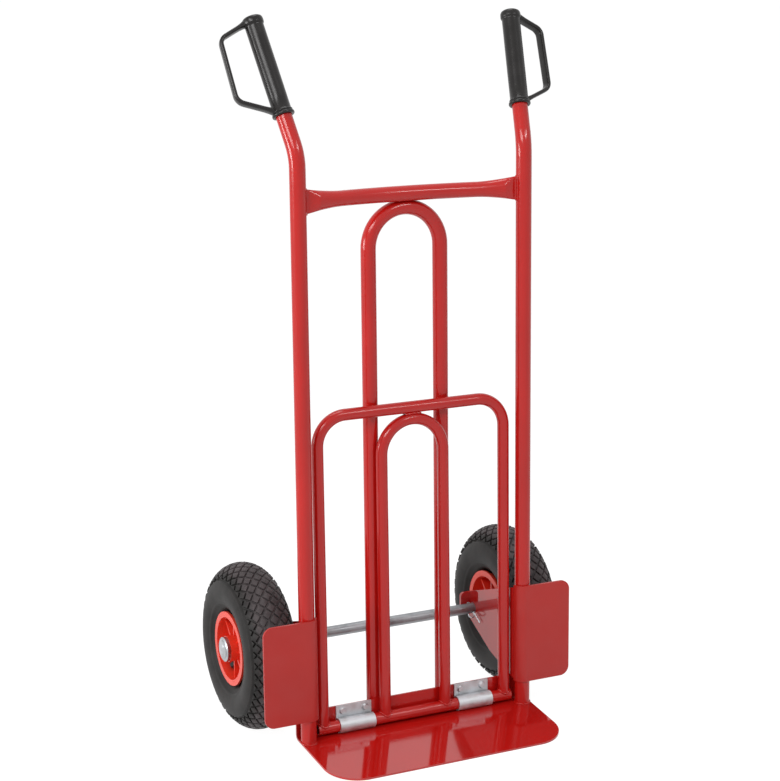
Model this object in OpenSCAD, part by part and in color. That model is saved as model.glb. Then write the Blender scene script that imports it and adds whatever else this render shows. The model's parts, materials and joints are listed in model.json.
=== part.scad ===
// Hand truck with a folding toe extension, pneumatic wheels and knuckle-guard grips.
// The origin is on the floor, in the middle of the whole outline, and the toe plate
// points to -Y. The frame leans back, so its pieces are drawn upright, with the uprights
// at y = 0, and put in place by leaned().

/* [Frame] */
// How far the whole frame leans back, degrees
frame_lean = 1.4; // [0:0.1:4]
// Distance between the axes of the two uprights
upright_spacing = 368; // [330:1:420]
// Outer diameter of the upright tubes
upright_d = 24; // [20:0.5:30]
// Wall of the upright tubes
upright_wall = 1.5; // [1:0.1:2.5]
// Height where the uprights start to turn back to the grips
bend_start = 877; // [840:1:980]
// How far the handle ends tilt back, degrees
handle_back = 25.7; // [15:0.1:35]
// How far the handle ends spread outwards, degrees
handle_out = 8.1; // [0:0.1:12]
// Bend radius of the uprights
bend_r = 80; // [60:1:120]
// Length of the handle ends beyond the corner
handle_len = 204; // [190:1:240]

/* [Crossbar and back arch] */
// Height of the crossbar at its ends
crossbar_height = 830; // [780:1:850]
// Outer diameter of the crossbar tube
crossbar_d = 23; // [18:0.5:28]
// Wall of the crossbar tube
crossbar_wall = 1.5; // [1:0.1:2]
// How far the middle of the crossbar bows back
crossbar_bow = 24; // [16:1:26]
// Length of each flared end
crossbar_flare = 56; // [45:1:70]
// Distance from the upright where the flare is crimped flat
crossbar_crimp = 19; // [14:1:30]
// Length of the flat tab at the upright
crossbar_tab = 4; // [2:0.5:8]
// Distance between the axes of the arch legs
arch_spacing = 118.5; // [90:0.5:150]
// Outer diameter of the arch tube
arch_d = 23; // [20:0.5:25]
// Wall of the arch tube
arch_wall = 1.5; // [1:0.1:2.5]

/* [Toe plate] */
// How far the tip reaches in front of the uprights
toe_reach = 133; // [120:1:220]
// How steeply the plate runs down to its tip, degrees
toe_slope = 4.8; // [3.5:0.1:6]
// Thickness of the bent sheet
toe_t = 3; // [2:0.1:4]
// Radius of the front corners
toe_corner_r = 52; // [10:1:80]
// Inner radius of the bend between plate and flange
toe_bend_r = 6; // [5:0.5:8]
// Height of the top edge of the flange
flange_top = 55; // [52:0.1:80]

/* [Folding toe extension] */
// Distance between the axes of the outer tubes
fold_spacing = 312; // [280:1:316]
// Outer diameter of its tubes
fold_d = 18; // [14:0.5:20]
// Wall of its tubes
fold_wall = 1.5; // [1:0.1:2]
// Height of the axis of its top bar
fold_top = 510; // [400:1:600]
// Bend radius of its two outer corners
fold_corner_r = 45; // [30:1:60]
// Distance between the axes of the inner arch
fold_arch_spacing = 103; // [85:1:116]
// How far the hinge tube stands out past the outer tubes
hinge_end = 1; // [0:0.1:2]
// Length of each plastic plug inside the hinge tube
plug_len = 12; // [6:1:20]

/* [Hinge clips] */
// Distance of each clip's middle from the centre line
clip_x = 101.5; // [97:0.5:108]
// Width of each clip
clip_w = 59; // [50:1:64]
// Thickness of the clip strip
clip_t = 2.5; // [1.5:0.1:3]
// Angle that the strip wraps round the tube, from the flange, degrees
clip_wrap = 235; // [200:1:240]
// Distance between the two bolts of a clip
bolt_pitch = 38; // [30:1:42]
// Bolt thread diameter
bolt_d = 6; // [5:0.5:6]

/* [Wheel guards] */
// Outer edge of each guard from the centre line
guard_reach = 260; // [230:1:275]
// Height of the lower edge
guard_low = 52; // [45:1:60]
// Height of the upper edge
guard_high = 209; // [190:1:240]
// Thickness of the guard sheet
guard_t = 3.5; // [2:0.1:4]
// Radius of the two outer corners
guard_corner_r = 15; // [5:1:30]

/* [Axle and brackets] */
// Distance of the axle behind the uprights
axle_back = 131.3; // [129:0.1:160]
// Axle diameter
axle_d = 17; // [14:0.5:18]
// Thickness of the bracket sheet
bracket_t = 5; // [3:0.1:6]
// Height of the bracket where it starts at the upright, lower edge
bracket_low = 56; // [48:1:66]
// Distance behind the upright where the lower edge turns steeper
bracket_knee = 75; // [50:1:85]
// Height of the lower edge there
bracket_knee_high = 77.5; // [70:0.5:86]
// Height of the bracket where it starts at the upright, upper edge
bracket_high = 205; // [190:1:220]
// Material left round the axle hole, rear and below
bracket_rim = 9; // [7:0.5:14]
// Material left above the axle hole
bracket_rim_top = 15; // [12:0.5:26]
// Width of the stiffening tab bent inwards on the rear edge
bracket_tab = 16; // [8:0.5:20]
// Radius of the bracket's lower rear corner
bracket_corner_r = 8; // [4:0.5:10]
// Radius of the tab's free corner
tab_corner_r = 6; // [2:0.5:7]
// Wire diameter of the split pins
pin_wire = 2; // [1.5:0.1:2.5]
// How far the split pins lean from upright, degrees
pin_tilt = 60; // [0:1:80]
// Length of each pin's straight leg beyond the axle
pin_leg = 23; // [8:0.5:24]
// Radius that each pin's other leg is curled to
pin_curl = 5; // [3:0.1:5]

/* [Wheels] */
// Tyre diameter
tyre_d = 260; // [250:1:300]
// Tyre width
tyre_w = 82; // [76:1:86]
// Wall of the tyre
tyre_wall = 6; // [4:0.5:8]
// Half the mouth between the tyre's beads
bead_in = 17; // [10:1:20]
// Wall of the inner tube
tube_wall = 2; // [1:0.1:3]
// Distance of the middle of each wheel from the centre line
wheel_x = 225; // [222:0.5:240]
// Outer diameter of the rim flanges
rim_d = 115; // [112:0.5:120]
// Diameter of the bead seats
bead_d = 101.6; // [98:0.1:104]
// Width over the rim flanges
rim_w = 69; // [62:1:72]
// Radial width of the flat flange ring
rim_ring = 9; // [8.5:0.5:13]
// How much the inside of the rim narrows towards its web
rim_taper = 3; // [0:0.1:5]
// Thickness of the rim shell
rim_t = 3.5; // [2.5:0.1:4]
// Outer diameter of the hub
hub_d = 40; // [39:0.5:46]
// Length of the hub
hub_len = 74; // [68:1:76]
// Ball bearing outer diameter
bearing_d = 35; // [30:0.5:36]
// Ball bearing width
bearing_w = 10; // [8:0.5:12]
// Diameter of the axle caps
cap_d = 38; // [30:0.5:39]
// Depth of the axle caps
cap_h = 7; // [5:0.1:10]
// Number of ribs inside each rim half
rim_ribs = 8; // [4:1:12]
// Thickness of those ribs
rib_t = 3; // [2:0.1:5]
// How far the ribs stay below the rim flange
rib_drop = 9; // [5:0.5:20]
// Number of bolts that join the rim halves
rim_bolts = 4; // [3:1:6]
// Diameter of the circle of those bolts
rim_bolt_circle = 64; // [60:0.5:70]
// Thread diameter of those bolts
rim_bolt_d = 5; // [4:0.5:6]
// Diameter of the rubber valve stem
valve_d = 10; // [7:0.5:10]
// Length of the valve stem
valve_len = 19; // [12:0.5:22]
// How far the valve stem slants outwards, degrees
valve_tilt = 45; // [20:1:50]
// Place of the valve round the rim, counted up from straight back, degrees
valve_angle = -63; // [-67:1:-24]

/* [Grips] */
// Outer diameter of the grip
grip_d = 27.6; // [27:0.1:33]
// Distance from the upright's corner to the lower end of the grip
grip_start = 61; // [56:1:70]
// Diameter of the collar at the lower end
collar_d = 33; // [31:0.5:38]
// Height of that collar
collar_h = 7; // [4:0.5:10]
// Diameter of the rim at the closed end
grip_cap_d = 31; // [30:0.5:36]
// Thickness of the closed end
grip_cap_h = 10.5; // [6:0.5:14]
// Reach of the knuckle guard at its upper corner
guard_top_out = 54; // [45:1:65]
// Reach of the knuckle guard at its lower corner
guard_low_out = 58.5; // [45:1:65]
// Drop of the upper corner below the grip's end
guard_top_drop = 22; // [15:1:35]
// Rise of the lower corner above the grip's start
guard_low_rise = 36.5; // [28:1:45]
// Width of the knuckle guard strap
strap_w = 15; // [10:0.5:16]
// Thickness of the knuckle guard strap
strap_t = 6.5; // [4:0.1:7]
// Inner radius of the strap's two corners
strap_corner_r = 8; // [5:0.5:12]
// How far the knuckle guards turn back from straight out, degrees
strap_turn = 10; // [0:1:30]

/* [Fits] */
// Running clearance between a shaft and its bore, on the radius
run_fit = 0.05; // [0.02:0.01:0.1]
// Gap between faces that move past each other
move_gap = 0.3; // [0.2:0.05:0.5]
// Gap that keeps neighbouring pieces of one assembly apart
seat_gap = 0.05; // [0.02:0.01:0.1]

/* [Hidden] */
$fn = 64;
tiny = 0.01;

upright_r = upright_d/2;
upright_x = upright_spacing/2;
crossbar_r = crossbar_d/2;
arch_r = arch_d/2;
arch_leg_x = arch_spacing/2;
fold_r = fold_d/2;
fold_x = fold_spacing/2;
fold_arch_r = fold_arch_spacing/2;
axle_r = axle_d/2;
tyre_r = tyre_d/2;

// The corner angle of the uprights and the direction that it turns to.
bend_side = tan(handle_out);
bend_rear = tan(handle_back);
bend_flat = norm([bend_side, bend_rear]);
bend_angle = atan(bend_flat);
bend_turn = atan2(bend_rear, bend_side);
bend_cut = bend_r*tan(bend_angle/2);
draw_down = 0.04;
lap = 0.5;
bend_lap = 0.4;
// What the foot of each upright is drawn longer by before the plate cuts it off.
upright_waste = 20;

// Side view of the bent sheet, in the frame's own upright coordinates [y, z].
toe_angle = toe_slope + frame_lean;
tip = [-toe_reach*cos(frame_lean), -toe_reach*sin(frame_lean)];
function toe_low(y) = tip[1] + (y - tip[0])*tan(toe_angle);
function toe_high(y) = toe_low(y) + toe_t/cos(toe_angle);
bend_y = upright_r + 1;
flange_y = bend_y + toe_bend_r;
bend_z = toe_high(bend_y) + toe_bend_r/cos(toe_angle);
toe_half = upright_x + upright_r;
side_waste = 10;

// Places that follow from the flange.
arch_y = flange_y + toe_t + arch_r + seat_gap;
arch_top = crossbar_height
    - sqrt(pow(arch_r + crossbar_r + seat_gap, 2) - pow(arch_y - crossbar_bow, 2));
arch_low = bend_z;

// The hinge tube lies in front of the flange, and its clips rest on the plate.
hinge_y = flange_y - fold_r - move_gap*2;
hinge_z = toe_high(hinge_y) + (fold_r + run_fit + clip_t + seat_gap)/cos(toe_angle);
hinge_half = fold_x + fold_r + hinge_end;
fold_len = fold_top - hinge_z;
// The extension leans back on the arch legs until only the moving gap is left.
fold_rest = asin((arch_y - arch_r - move_gap - hinge_y - fold_r)/fold_len);
clip_top = flange_top + 0.8;
bolt_z = (clip_top + hinge_z + fold_r + clip_t)/2;
bolt_head_d = bolt_d*1.9;
bolt_head_h = bolt_d*0.55;
nut_d = bolt_d*2;
nut_h = bolt_d*0.8;

// The axle lies where the tyres stand on the floor.
axle_up = (tyre_r + axle_back*sin(frame_lean))/cos(frame_lean);
axle_behind = axle_back*cos(frame_lean) + axle_up*sin(frame_lean);
// The middle of the whole outline, from the tip of the plate to the back of the tyres.
mid_y = (axle_behind + tyre_r - toe_reach - toe_t*sin(toe_slope))/2;
axle_y = axle_behind - mid_y;
bracket_in = upright_x - upright_r - bracket_t;
spacer_d = axle_d + 8;
spacer_in = upright_x - upright_r;
hub_in = wheel_x - hub_len/2;
hub_out = wheel_x + hub_len/2;
cap_floor = 2.5;
axle_half = hub_out + cap_h - cap_floor;
cap_edge = 1.5;
dimple_r = 9.5;
dimple_depth = 1.5;
pin_x = bracket_in - pin_wire*2;

tyre_mid = tyre_r - tyre_w/2;
bead_r = bead_d/2;
rim_r = rim_d/2;
flange_in = rim_w/2 - rim_t;
barrel_r = rim_r - rim_ring;
web_t = 5;
bearing_lip = 3;
sleeve_wall = 3;
valve_in = 9;
valve_root = 3;

grip_bore = upright_d/2 + seat_gap;
grip_end = handle_len + grip_cap_h;
grip_edge = 4;

frame_red = [0.74, 0.10, 0.09];
guard_red = [0.65, 0.22, 0.20];
rim_red = [0.93, 0.25, 0.20];
grip_black = [0.16, 0.16, 0.16];
tyre_black = [0.12, 0.12, 0.12];
zinc = [0.78, 0.79, 0.80];

// ---- helpers -------------------------------------------------------------

// Turns the upright frame back by its lean and puts it over the middle of the outline.
module leaned() {
    translate([0, -mid_y, 0]) rotate([-frame_lean, 0, 0]) children();
}

// Draws the right-hand piece, or its mirror image for the left.
module side(s) {
    if (s < 0) mirror([1, 0, 0]) children();
    else children();
}

// A tube along Z from the origin.
module pipe(r, wall, length) {
    difference() {
        cylinder(h = length, r = r);
        translate([0, 0, -1]) cylinder(h = length + 2, r = r - wall);
    }
}

// A bent stretch of round bar about Z, starting on the X axis.
module bar_bend(r, radius, angle) {
    rotate_extrude(angle = angle, $fn = 96) translate([radius, 0]) circle(r = r);
}

// A bar along X from x = from, at the axle.
module on_axle(from, length, r, bore = 0) {
    translate([from, axle_y, tyre_r]) rotate([0, 90, 0])
        if (bore > 0) difference() {
            cylinder(h = length, r = r);
            translate([0, 0, -1]) cylinder(h = length + 2, r = bore);
        }
        else cylinder(h = length, r = r);
}

// A profile of [radius, offset along the axle] turned about the axle.
module on_wheel(s, $fn = 128) {
    side(s) translate([wheel_x, axle_y, tyre_r]) rotate([0, 90, 0])
        rotate_extrude() children();
}

// Sector of a ring in the plane, from angle a to angle b.
module ring_sector(inner, outer, a, b) {
    difference() {
        polygon(concat([[0, 0]],
            [for (i = [0:8]) let (t = a + (b - a)*i/8) 1.6*outer*[cos(t), sin(t)]]));
        circle(r = inner);
        difference() {
            circle(r = 3*outer);
            circle(r = outer);
        }
    }
}

// Points of a corner rounded by radius r, between its neighbours.
function unit(v) = v/norm(v);
function rounded_corner(a, p, b, r, steps = 8) =
    let (u = unit(a - p), v = unit(b - p), half = acos(u*v)/2,
         m = unit(u + v), c = p + m*r/sin(half), side_sign = sign(u[0]*v[1] - u[1]*v[0]),
         start = atan2(-m[1], -m[0]))
    [for (i = [0:steps]) let (t = start + side_sign*(90 - half)*(1 - 2*i/steps))
        c + r*[cos(t), sin(t)]];

// ---- frame ---------------------------------------------------------------

module upright(s) color(frame_red) leaned() side(s) difference() {
    upright_bar(upright_r, 0);
    upright_bar(upright_r - upright_wall, 1);
    toe_space();
}

// The upright's line as a solid bar, its ends drawn longer by over. Each part of it
// starts inside the one before and is a hair thinner, as the tube is drawn in the bend.
module upright_bar(r, over) {
    translate([upright_x, 0, -upright_waste - over])
        cylinder(h = bend_start + upright_waste + over, r = r);
    translate([upright_x, 0, bend_start]) rotate([0, 0, bend_turn])
        translate([bend_r, 0, 0]) rotate([90, 0, 0]) mirror([1, 0, 0])
            rotate([0, 0, -bend_lap])
                bar_bend(r - draw_down, bend_r, bend_angle + bend_lap);
    handle_axis() translate([0, 0, bend_cut - lap])
        cylinder(h = handle_len - bend_cut + lap + over, r = r - draw_down*2);
}

// Everything below the top face of the toe plate.
module toe_space() {
    translate([0, tip[0], toe_high(tip[0])]) rotate([toe_angle, 0, 0])
        translate([-toe_half*2, -toe_reach, -toe_reach])
            cube([toe_half*4, toe_reach*3, toe_reach]);
}

// Puts the corner of the right upright at the origin, with Z along its handle end
// and X pointing out of the frame.
module handle_axis() {
    translate([upright_x, 0, bend_start]) translate([0, 0, bend_cut])
        rotate([0, 0, bend_turn]) rotate([0, bend_angle, 0]) rotate([0, 0, -bend_turn])
            children();
}

module upper_crossbar() color(frame_red) leaned() {
    half = upright_x - upright_r - seat_gap;
    bow_half = half - crossbar_flare;
    bow_r = (pow(half, 2) + pow(crossbar_bow, 2))/(2*crossbar_bow);
    bow_angle = asin(bow_half/bow_r);
    bow_y = crossbar_bow - bow_r;
    translate([0, bow_y, crossbar_height]) difference() {
        rotate([0, 0, 90 - bow_angle]) bar_bend(crossbar_r, bow_r, 2*bow_angle);
        rotate([0, 0, 89 - bow_angle])
            bar_bend(crossbar_r - crossbar_wall, bow_r, 2*bow_angle + 2);
    }
    for (s = [-1, 1]) side(s) translate([0, 0, crossbar_height]) difference() {
        crimped_end(half, bow_r, bow_y, bow_angle, 0);
        crimped_end(half, bow_r, bow_y, bow_angle, crossbar_wall);
    }
}

// One end of the crossbar, made smaller by inset: round where it leaves the bow, then
// taller and flatter, and pressed into a flat tab where it meets the upright.
module crimped_end(half, bow_r, bow_y, bow_angle, inset) {
    r = crossbar_r - inset;
    tab_h = PI*crossbar_d/2 - 2*inset;
    tab_t = 2*crossbar_wall - 2*inset + 0.4;
    over = inset > 0 ? tiny : 0;
    neck_x = half - crossbar_crimp;
    neck_y = bow_y + sqrt(pow(bow_r, 2) - pow(neck_x, 2));
    neck_lift = crossbar_d*0.13;
    hull() {
        translate([half - crossbar_flare, bow_y + bow_r*cos(bow_angle), 0])
            rotate([0, 0, -bow_angle]) rotate([0, 90, 0])
                translate([0, 0, -0.5 - over]) cylinder(h = tiny, r = r, $fn = 32);
        for (z = [-neck_lift, neck_lift])
            translate([neck_x, neck_y, z]) rotate([0, 90, 0])
                cylinder(h = tiny, r = r*0.87, $fn = 32);
    }
    hull() {
        for (z = [-neck_lift, neck_lift])
            translate([neck_x, neck_y, z]) rotate([0, 90, 0])
                cylinder(h = tiny, r = r*0.87, $fn = 32);
        translate([half - crossbar_tab, -tab_t/2, -tab_h/2])
            cube([crossbar_tab + over, tab_t, tab_h]);
    }
}

module back_arch() color(frame_red) leaned() translate([0, arch_y, 0]) difference() {
    hoop(arch_leg_x, arch_top, arch_low, arch_r, 0);
    hoop(arch_leg_x, arch_top, arch_low, arch_r - arch_wall, 1);
}

// A round-topped hoop of bar: legs at half, centre line from low to top.
module hoop(half, top, low, r, over) {
    spring = top - half;
    for (x = [-half, half])
        translate([x, 0, low - over]) cylinder(h = spring - low + over, r = r);
    translate([0, 0, spring]) rotate([90, 0, 0]) bar_bend(r, half, 180);
}

// ---- toe plate -----------------------------------------------------------

module toe_section() {
    foot = [bend_y + toe_bend_r*sin(toe_angle), bend_z - toe_bend_r*cos(toe_angle)];
    run = (foot - tip)*[cos(toe_angle), sin(toe_angle)];
    translate([flange_y, bend_z]) square([toe_t, flange_top - bend_z]);
    translate([bend_y, bend_z])
        ring_sector(toe_bend_r, toe_bend_r + toe_t, toe_angle - 90, 0);
    translate(foot) rotate(180 + toe_angle) square([run, toe_t]);
}

module toe_plate() color(frame_red) leaned() difference() {
    rotate([90, 0, 90]) translate([0, 0, -toe_half - side_waste])
        linear_extrude((toe_half + side_waste)*2) toe_section();
    for (s = [-1, 1]) side(s) {
        translate([toe_half, tip[0] - side_waste, -flange_top])
            cube([side_waste*2, toe_reach*2, flange_top*3]);
        translate([toe_half - toe_corner_r, tip[0] + toe_corner_r, -flange_top])
            toe_corner_waste(toe_corner_r + side_waste);
    }
    for (s = [-1, 1], b = [-1, 1])
        translate([s*clip_x + b*bolt_pitch/2, flange_y - 1, bolt_z]) rotate([-90, 0, 0])
            cylinder(h = toe_t + 2, d = bolt_d + 2*seat_gap, $fn = 32);
}

// What is cut off at a front corner, around the middle of its round.
module toe_corner_waste(width) difference() {
    translate([0, -width, 0]) cube([width, width, flange_top*2]);
    translate([0, 0, -1]) cylinder(h = flange_top*2 + 2, r = toe_corner_r);
}

// ---- wheel guards --------------------------------------------------------

module wheel_guard(s) color(guard_red) leaned() side(s) {
    wrap_r = upright_r + seat_gap;
    width = guard_reach - upright_x;
    translate([upright_x, -wrap_r - guard_t, guard_low]) rotate([90, 0, 0])
        translate([0, 0, -guard_t]) linear_extrude(guard_t) difference() {
            square([width, guard_high - guard_low]);
            for (top = [0, 1])
                translate([width, top*(guard_high - guard_low)]) mirror([0, top])
                    corner_waste(guard_corner_r);
        }
    translate([upright_x, 0, guard_low]) linear_extrude(guard_high - guard_low)
        ring_sector(wrap_r, wrap_r + guard_t, 180, 270);
}

// What rounding takes off a corner that lies at the origin, below and left of it free.
module corner_waste(r) {
    difference() {
        translate([-r, -1]) square([r + 1, r + 1]);
        translate([-r, r]) circle(r = r);
    }
}

// ---- axle and brackets ---------------------------------------------------

module axle_bracket(s) color(frame_red) leaned() side(s) {
    nose_r = axle_r + bracket_rim;
    rear = axle_back + nose_r;
    top_rear = axle_up + axle_r + bracket_rim_top;
    knee = [bracket_knee, bracket_knee_high];
    nose = rounded_corner([rear, top_rear], [rear, axle_up - nose_r], knee, bracket_corner_r);
    difference() {
        translate([bracket_in, 0, 0]) rotate([90, 0, 90]) linear_extrude(bracket_t)
            polygon(concat([[0.5, bracket_high], [0.5, bracket_low], knee],
                [for (i = [len(nose) - 1:-1:0]) nose[i]], [[rear, top_rear]]));
        translate([bracket_in - 1, axle_back, axle_up]) rotate([0, 90, 0])
            cylinder(h = bracket_t + 2, r = axle_r + seat_gap);
    }
    // the tab bent inwards along the rear edge, above the axle
    translate([bracket_in - bracket_tab, rear - bracket_t, axle_up]) difference() {
        cube([bracket_tab, bracket_t, top_rear - axle_up]);
        translate([0, bracket_t + 1, top_rear - axle_up]) rotate([90, 0, 0])
            linear_extrude(bracket_t + 2) mirror([1, 0]) mirror([0, 1])
                corner_waste(tab_corner_r);
    }
}

module axle() color(zinc) difference() {
    on_axle(-axle_half, 2*axle_half, axle_r);
    for (s = [-1, 1]) side(s) on_pin()
        cylinder(h = axle_d*2, d = pin_wire*2 + 0.6, center = true, $fn = 32);
}

// A split pin's place: the middle of its hole in the axle, Z along the hole, up and back.
module on_pin() {
    translate([pin_x, axle_y, tyre_r]) rotate([-pin_tilt, 0, 0]) children();
}

module spacer(s) color(zinc) side(s)
    on_axle(spacer_in + seat_gap, hub_in - move_gap - spacer_in - seat_gap, spacer_d/2,
        axle_r + seat_gap);

// A split pin: its eye lies on the back of the axle, one leg stays straight in front of
// it and the other is curled away from the bracket.
module split_pin(s) color(zinc) side(s) on_pin() {
    eye_r = pin_wire*0.9;
    out = axle_r + 1;
    head = axle_r + 0.5;
    translate([pin_wire/2, 0, -out - pin_leg])
        cylinder(h = pin_leg + out + head, d = pin_wire, $fn = 32);
    translate([-pin_wire/2, 0, -out - pin_curl])
        cylinder(h = pin_curl + out + head, d = pin_wire, $fn = 32);
    translate([0, 0, head + eye_r - 0.4]) rotate([90, 0, 0]) rotate_extrude()
        translate([eye_r, 0]) circle(d = pin_wire, $fn = 32);
    translate([-pin_wire/2 - pin_curl, 0, -out - pin_curl]) rotate([90, 0, 0]) mirror([0, 1])
        rotate_extrude(angle = 270) translate([pin_curl, 0]) circle(d = pin_wire, $fn = 32);
}

// The cap pressed on each end of the axle, with a dimple in its face.
module axle_cap(s) color(zinc) side(s) translate([hub_out + move_gap, axle_y, tyre_r])
    rotate([0, 90, 0]) difference() {
        union() {
            cylinder(h = cap_h - cap_edge - 0.5, d = cap_d);
            translate([0, 0, cap_h - cap_edge - 0.5])
                cylinder(h = cap_edge, d1 = cap_d, d2 = cap_d - 5);
            translate([0, 0, cap_h - 1]) cylinder(h = 1, d = cap_d - 9);
        }
        translate([0, 0, -1]) cylinder(h = axle_half - hub_out - move_gap + 1 + seat_gap,
            r = axle_r + seat_gap);
        translate([-cap_d*0.21, -cap_d*0.13, cap_h + dimple_r - dimple_depth])
            sphere(r = dimple_r);
    }

// ---- wheels --------------------------------------------------------------

// Half of the rim, from the middle plane outwards: [radius, distance from that plane].
module rim_half_section() {
    hub_end = hub_len/2;
    polygon([
        [bead_r, seat_gap], [bead_r, flange_in], [rim_r, flange_in], [rim_r, rim_w/2],
        [barrel_r, rim_w/2], [barrel_r - rim_taper, web_t],
        [hub_d/2, web_t], [hub_d/2, hub_end], [bearing_d/2, hub_end],
        [bearing_d/2, hub_end - bearing_w - seat_gap],
        [bearing_d/2 - bearing_lip, hub_end - bearing_w - seat_gap],
        [bearing_d/2 - bearing_lip, seat_gap]
    ]);
}

module rim_half(s, out) color(rim_red) side(s) difference() {
    translate([wheel_x, axle_y, tyre_r]) rotate([0, out > 0 ? 90 : -90, 0]) {
        rotate_extrude($fn = 128) rim_half_section();
        for (i = [0:rim_ribs - 1]) rotate([0, 0, i*360/rim_ribs])
            translate([hub_d/2 - 1, -rib_t/2, web_t - 1])
                cube([barrel_r - hub_d/2 + 2, rib_t, rim_w/2 - web_t - rib_drop + 1]);
    }
    rim_bolt_places() translate([0, 0, -rim_w/4])
        cylinder(h = rim_w/2, d = rim_bolt_d + 2*seat_gap, $fn = 32);
    if (out > 0) valve_place() translate([0, 0, -30]) cylinder(h = 60, d = valve_d + 2*seat_gap);
}

// Each rim bolt's place on the middle plane, with Z along the axle, pointing out.
module rim_bolt_places() {
    for (i = [0:rim_bolts - 1])
        translate([wheel_x, axle_y, tyre_r]) rotate([i*360/rim_bolts - 180/rim_ribs, 0, 0])
            translate([0, rim_bolt_circle/2, 0]) rotate([0, 90, 0]) children();
}

module rim_bolt_set(s) color(zinc) side(s) rim_bolt_places() {
    clamp = web_t + seat_gap;
    head_h = rim_bolt_d*0.7;
    nut_high = rim_bolt_d*0.8;
    translate([0, 0, -clamp - 3]) cylinder(h = 2*clamp + 3 + head_h/2, d = rim_bolt_d, $fn = 32);
    translate([0, 0, clamp]) cylinder(h = head_h, d = rim_bolt_d*1.8);
    translate([0, 0, -clamp - nut_high]) rotate([0, 0, 30])
        cylinder(h = nut_high, d = rim_bolt_d*1.84, $fn = 6);
}

module tyre(s) color(tyre_black) on_wheel(s) tyre_section();

// Half section of the carcass: [radius, distance from the wheel's middle plane].
module tyre_section() difference() {
    bead_top = tyre_mid - tyre_w/2 + tyre_wall*2;
    union() {
        translate([tyre_mid, 0]) circle(r = tyre_w/2, $fn = 96);
        for (z = [bead_in, seat_gap - flange_in]) translate([bead_r + seat_gap, z])
            square([max(bead_top - bead_r, tyre_wall), flange_in - seat_gap - bead_in]);
    }
    translate([tyre_mid, 0]) circle(r = tyre_w/2 - tyre_wall, $fn = 96);
    translate([bead_r - tyre_w, -tyre_w]) square([tyre_w + seat_gap, 2*tyre_w]);
    translate([0, -bead_in]) square([tyre_mid, 2*bead_in]);
    for (z = [flange_in - seat_gap, -tyre_w]) translate([0, z])
        square([rim_r + move_gap, tyre_w - flange_in + seat_gap]);
}

module inner_tube(s) color(tyre_black) side(s) difference() {
    tube_r = tyre_w/2 - tyre_wall - move_gap;
    floor_r = bead_r + move_gap;
    translate([wheel_x, axle_y, tyre_r]) rotate([0, 90, 0]) rotate_extrude($fn = 128)
        difference() {
            tube_round(tube_r, floor_r);
            tube_round(tube_r - tube_wall, floor_r + tube_wall);
        }
    valve_place() translate([0, 0, -30]) cylinder(h = 60, d = valve_d + 2*seat_gap);
}

// The round of the inner tube, no nearer to the axle than floor_r.
module tube_round(r, floor_r) difference() {
    translate([tyre_mid, 0]) circle(r = r, $fn = 64);
    translate([floor_r - tyre_w, -tyre_w]) square([tyre_w, 2*tyre_w]);
}

// The valve's place in the barrel of the rim: Z points at a slant to the hub and out.
module valve_place() {
    translate([wheel_x, axle_y, tyre_r]) rotate([valve_angle, 0, 0])
        translate([valve_in, bead_r, 0]) rotate([90, 0, 0]) rotate([0, valve_tilt, 0]) children();
}

module valve(s) color(grip_black) side(s) valve_place() {
    translate([0, 0, -valve_root]) cylinder(h = valve_len, d = valve_d);
    translate([0, 0, valve_len - valve_root])
        cylinder(h = 3, d1 = valve_d, d2 = valve_d*0.77);
}

module bearings(s) color(zinc) for (x = [hub_in, hub_out - bearing_w]) side(s)
    on_axle(x, bearing_w, bearing_d/2 - seat_gap, axle_r + run_fit);

module bearing_sleeve(s) color(zinc) side(s)
    on_axle(hub_in + bearing_w + seat_gap, hub_len - 2*bearing_w - 2*seat_gap, axle_r + sleeve_wall,
        axle_r + run_fit*2);

// ---- folding toe extension -----------------------------------------------

// Stands the extension on its hinge axis, leaning back on the arch.
module on_hinge() {
    leaned() translate([0, hinge_y, hinge_z]) rotate([-fold_rest, 0, 0]) children();
}

// Room for the hinge tube between the feet of the welded legs.
module hinge_tube_space() {
    translate([-hinge_half, 0, 0]) rotate([0, 90, 0])
        cylinder(h = 2*hinge_half, r = fold_r + seat_gap/2);
}

module fold_outer_tube() color(frame_red) on_hinge() difference() {
    fold_outer_bar(fold_r, 0);
    fold_outer_bar(fold_r - fold_wall, 1);
    hinge_tube_space();
}

module fold_outer_bar(r, over) {
    leg = fold_len - fold_corner_r;
    bar = fold_x - fold_corner_r;
    for (s = [-1, 1]) side(s) {
        translate([fold_x, 0, -over]) cylinder(h = leg + over, r = r);
        translate([bar, 0, leg]) rotate([90, 0, 0]) bar_bend(r, fold_corner_r, 90);
    }
    translate([-bar, 0, fold_len]) rotate([0, 90, 0]) cylinder(h = 2*bar, r = r);
}

module fold_inner_arch() color(frame_red) on_hinge() difference() {
    top = fold_len - fold_d - seat_gap;
    hoop(fold_arch_r, top, 0, fold_r, 0);
    hoop(fold_arch_r, top, 0, fold_r - fold_wall, 1);
    hinge_tube_space();
}

module fold_hinge_tube() color(frame_red) on_hinge()
    translate([-hinge_half, 0, 0]) rotate([0, 90, 0]) pipe(fold_r, fold_wall, 2*hinge_half);

module hinge_tube_plugs() color(grip_black) on_hinge() for (s = [-1, 1]) side(s)
    translate([hinge_half - plug_len, 0, 0]) rotate([0, 90, 0])
        cylinder(h = plug_len, r = fold_r - fold_wall - seat_gap);

// ---- hinge clips ---------------------------------------------------------

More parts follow.
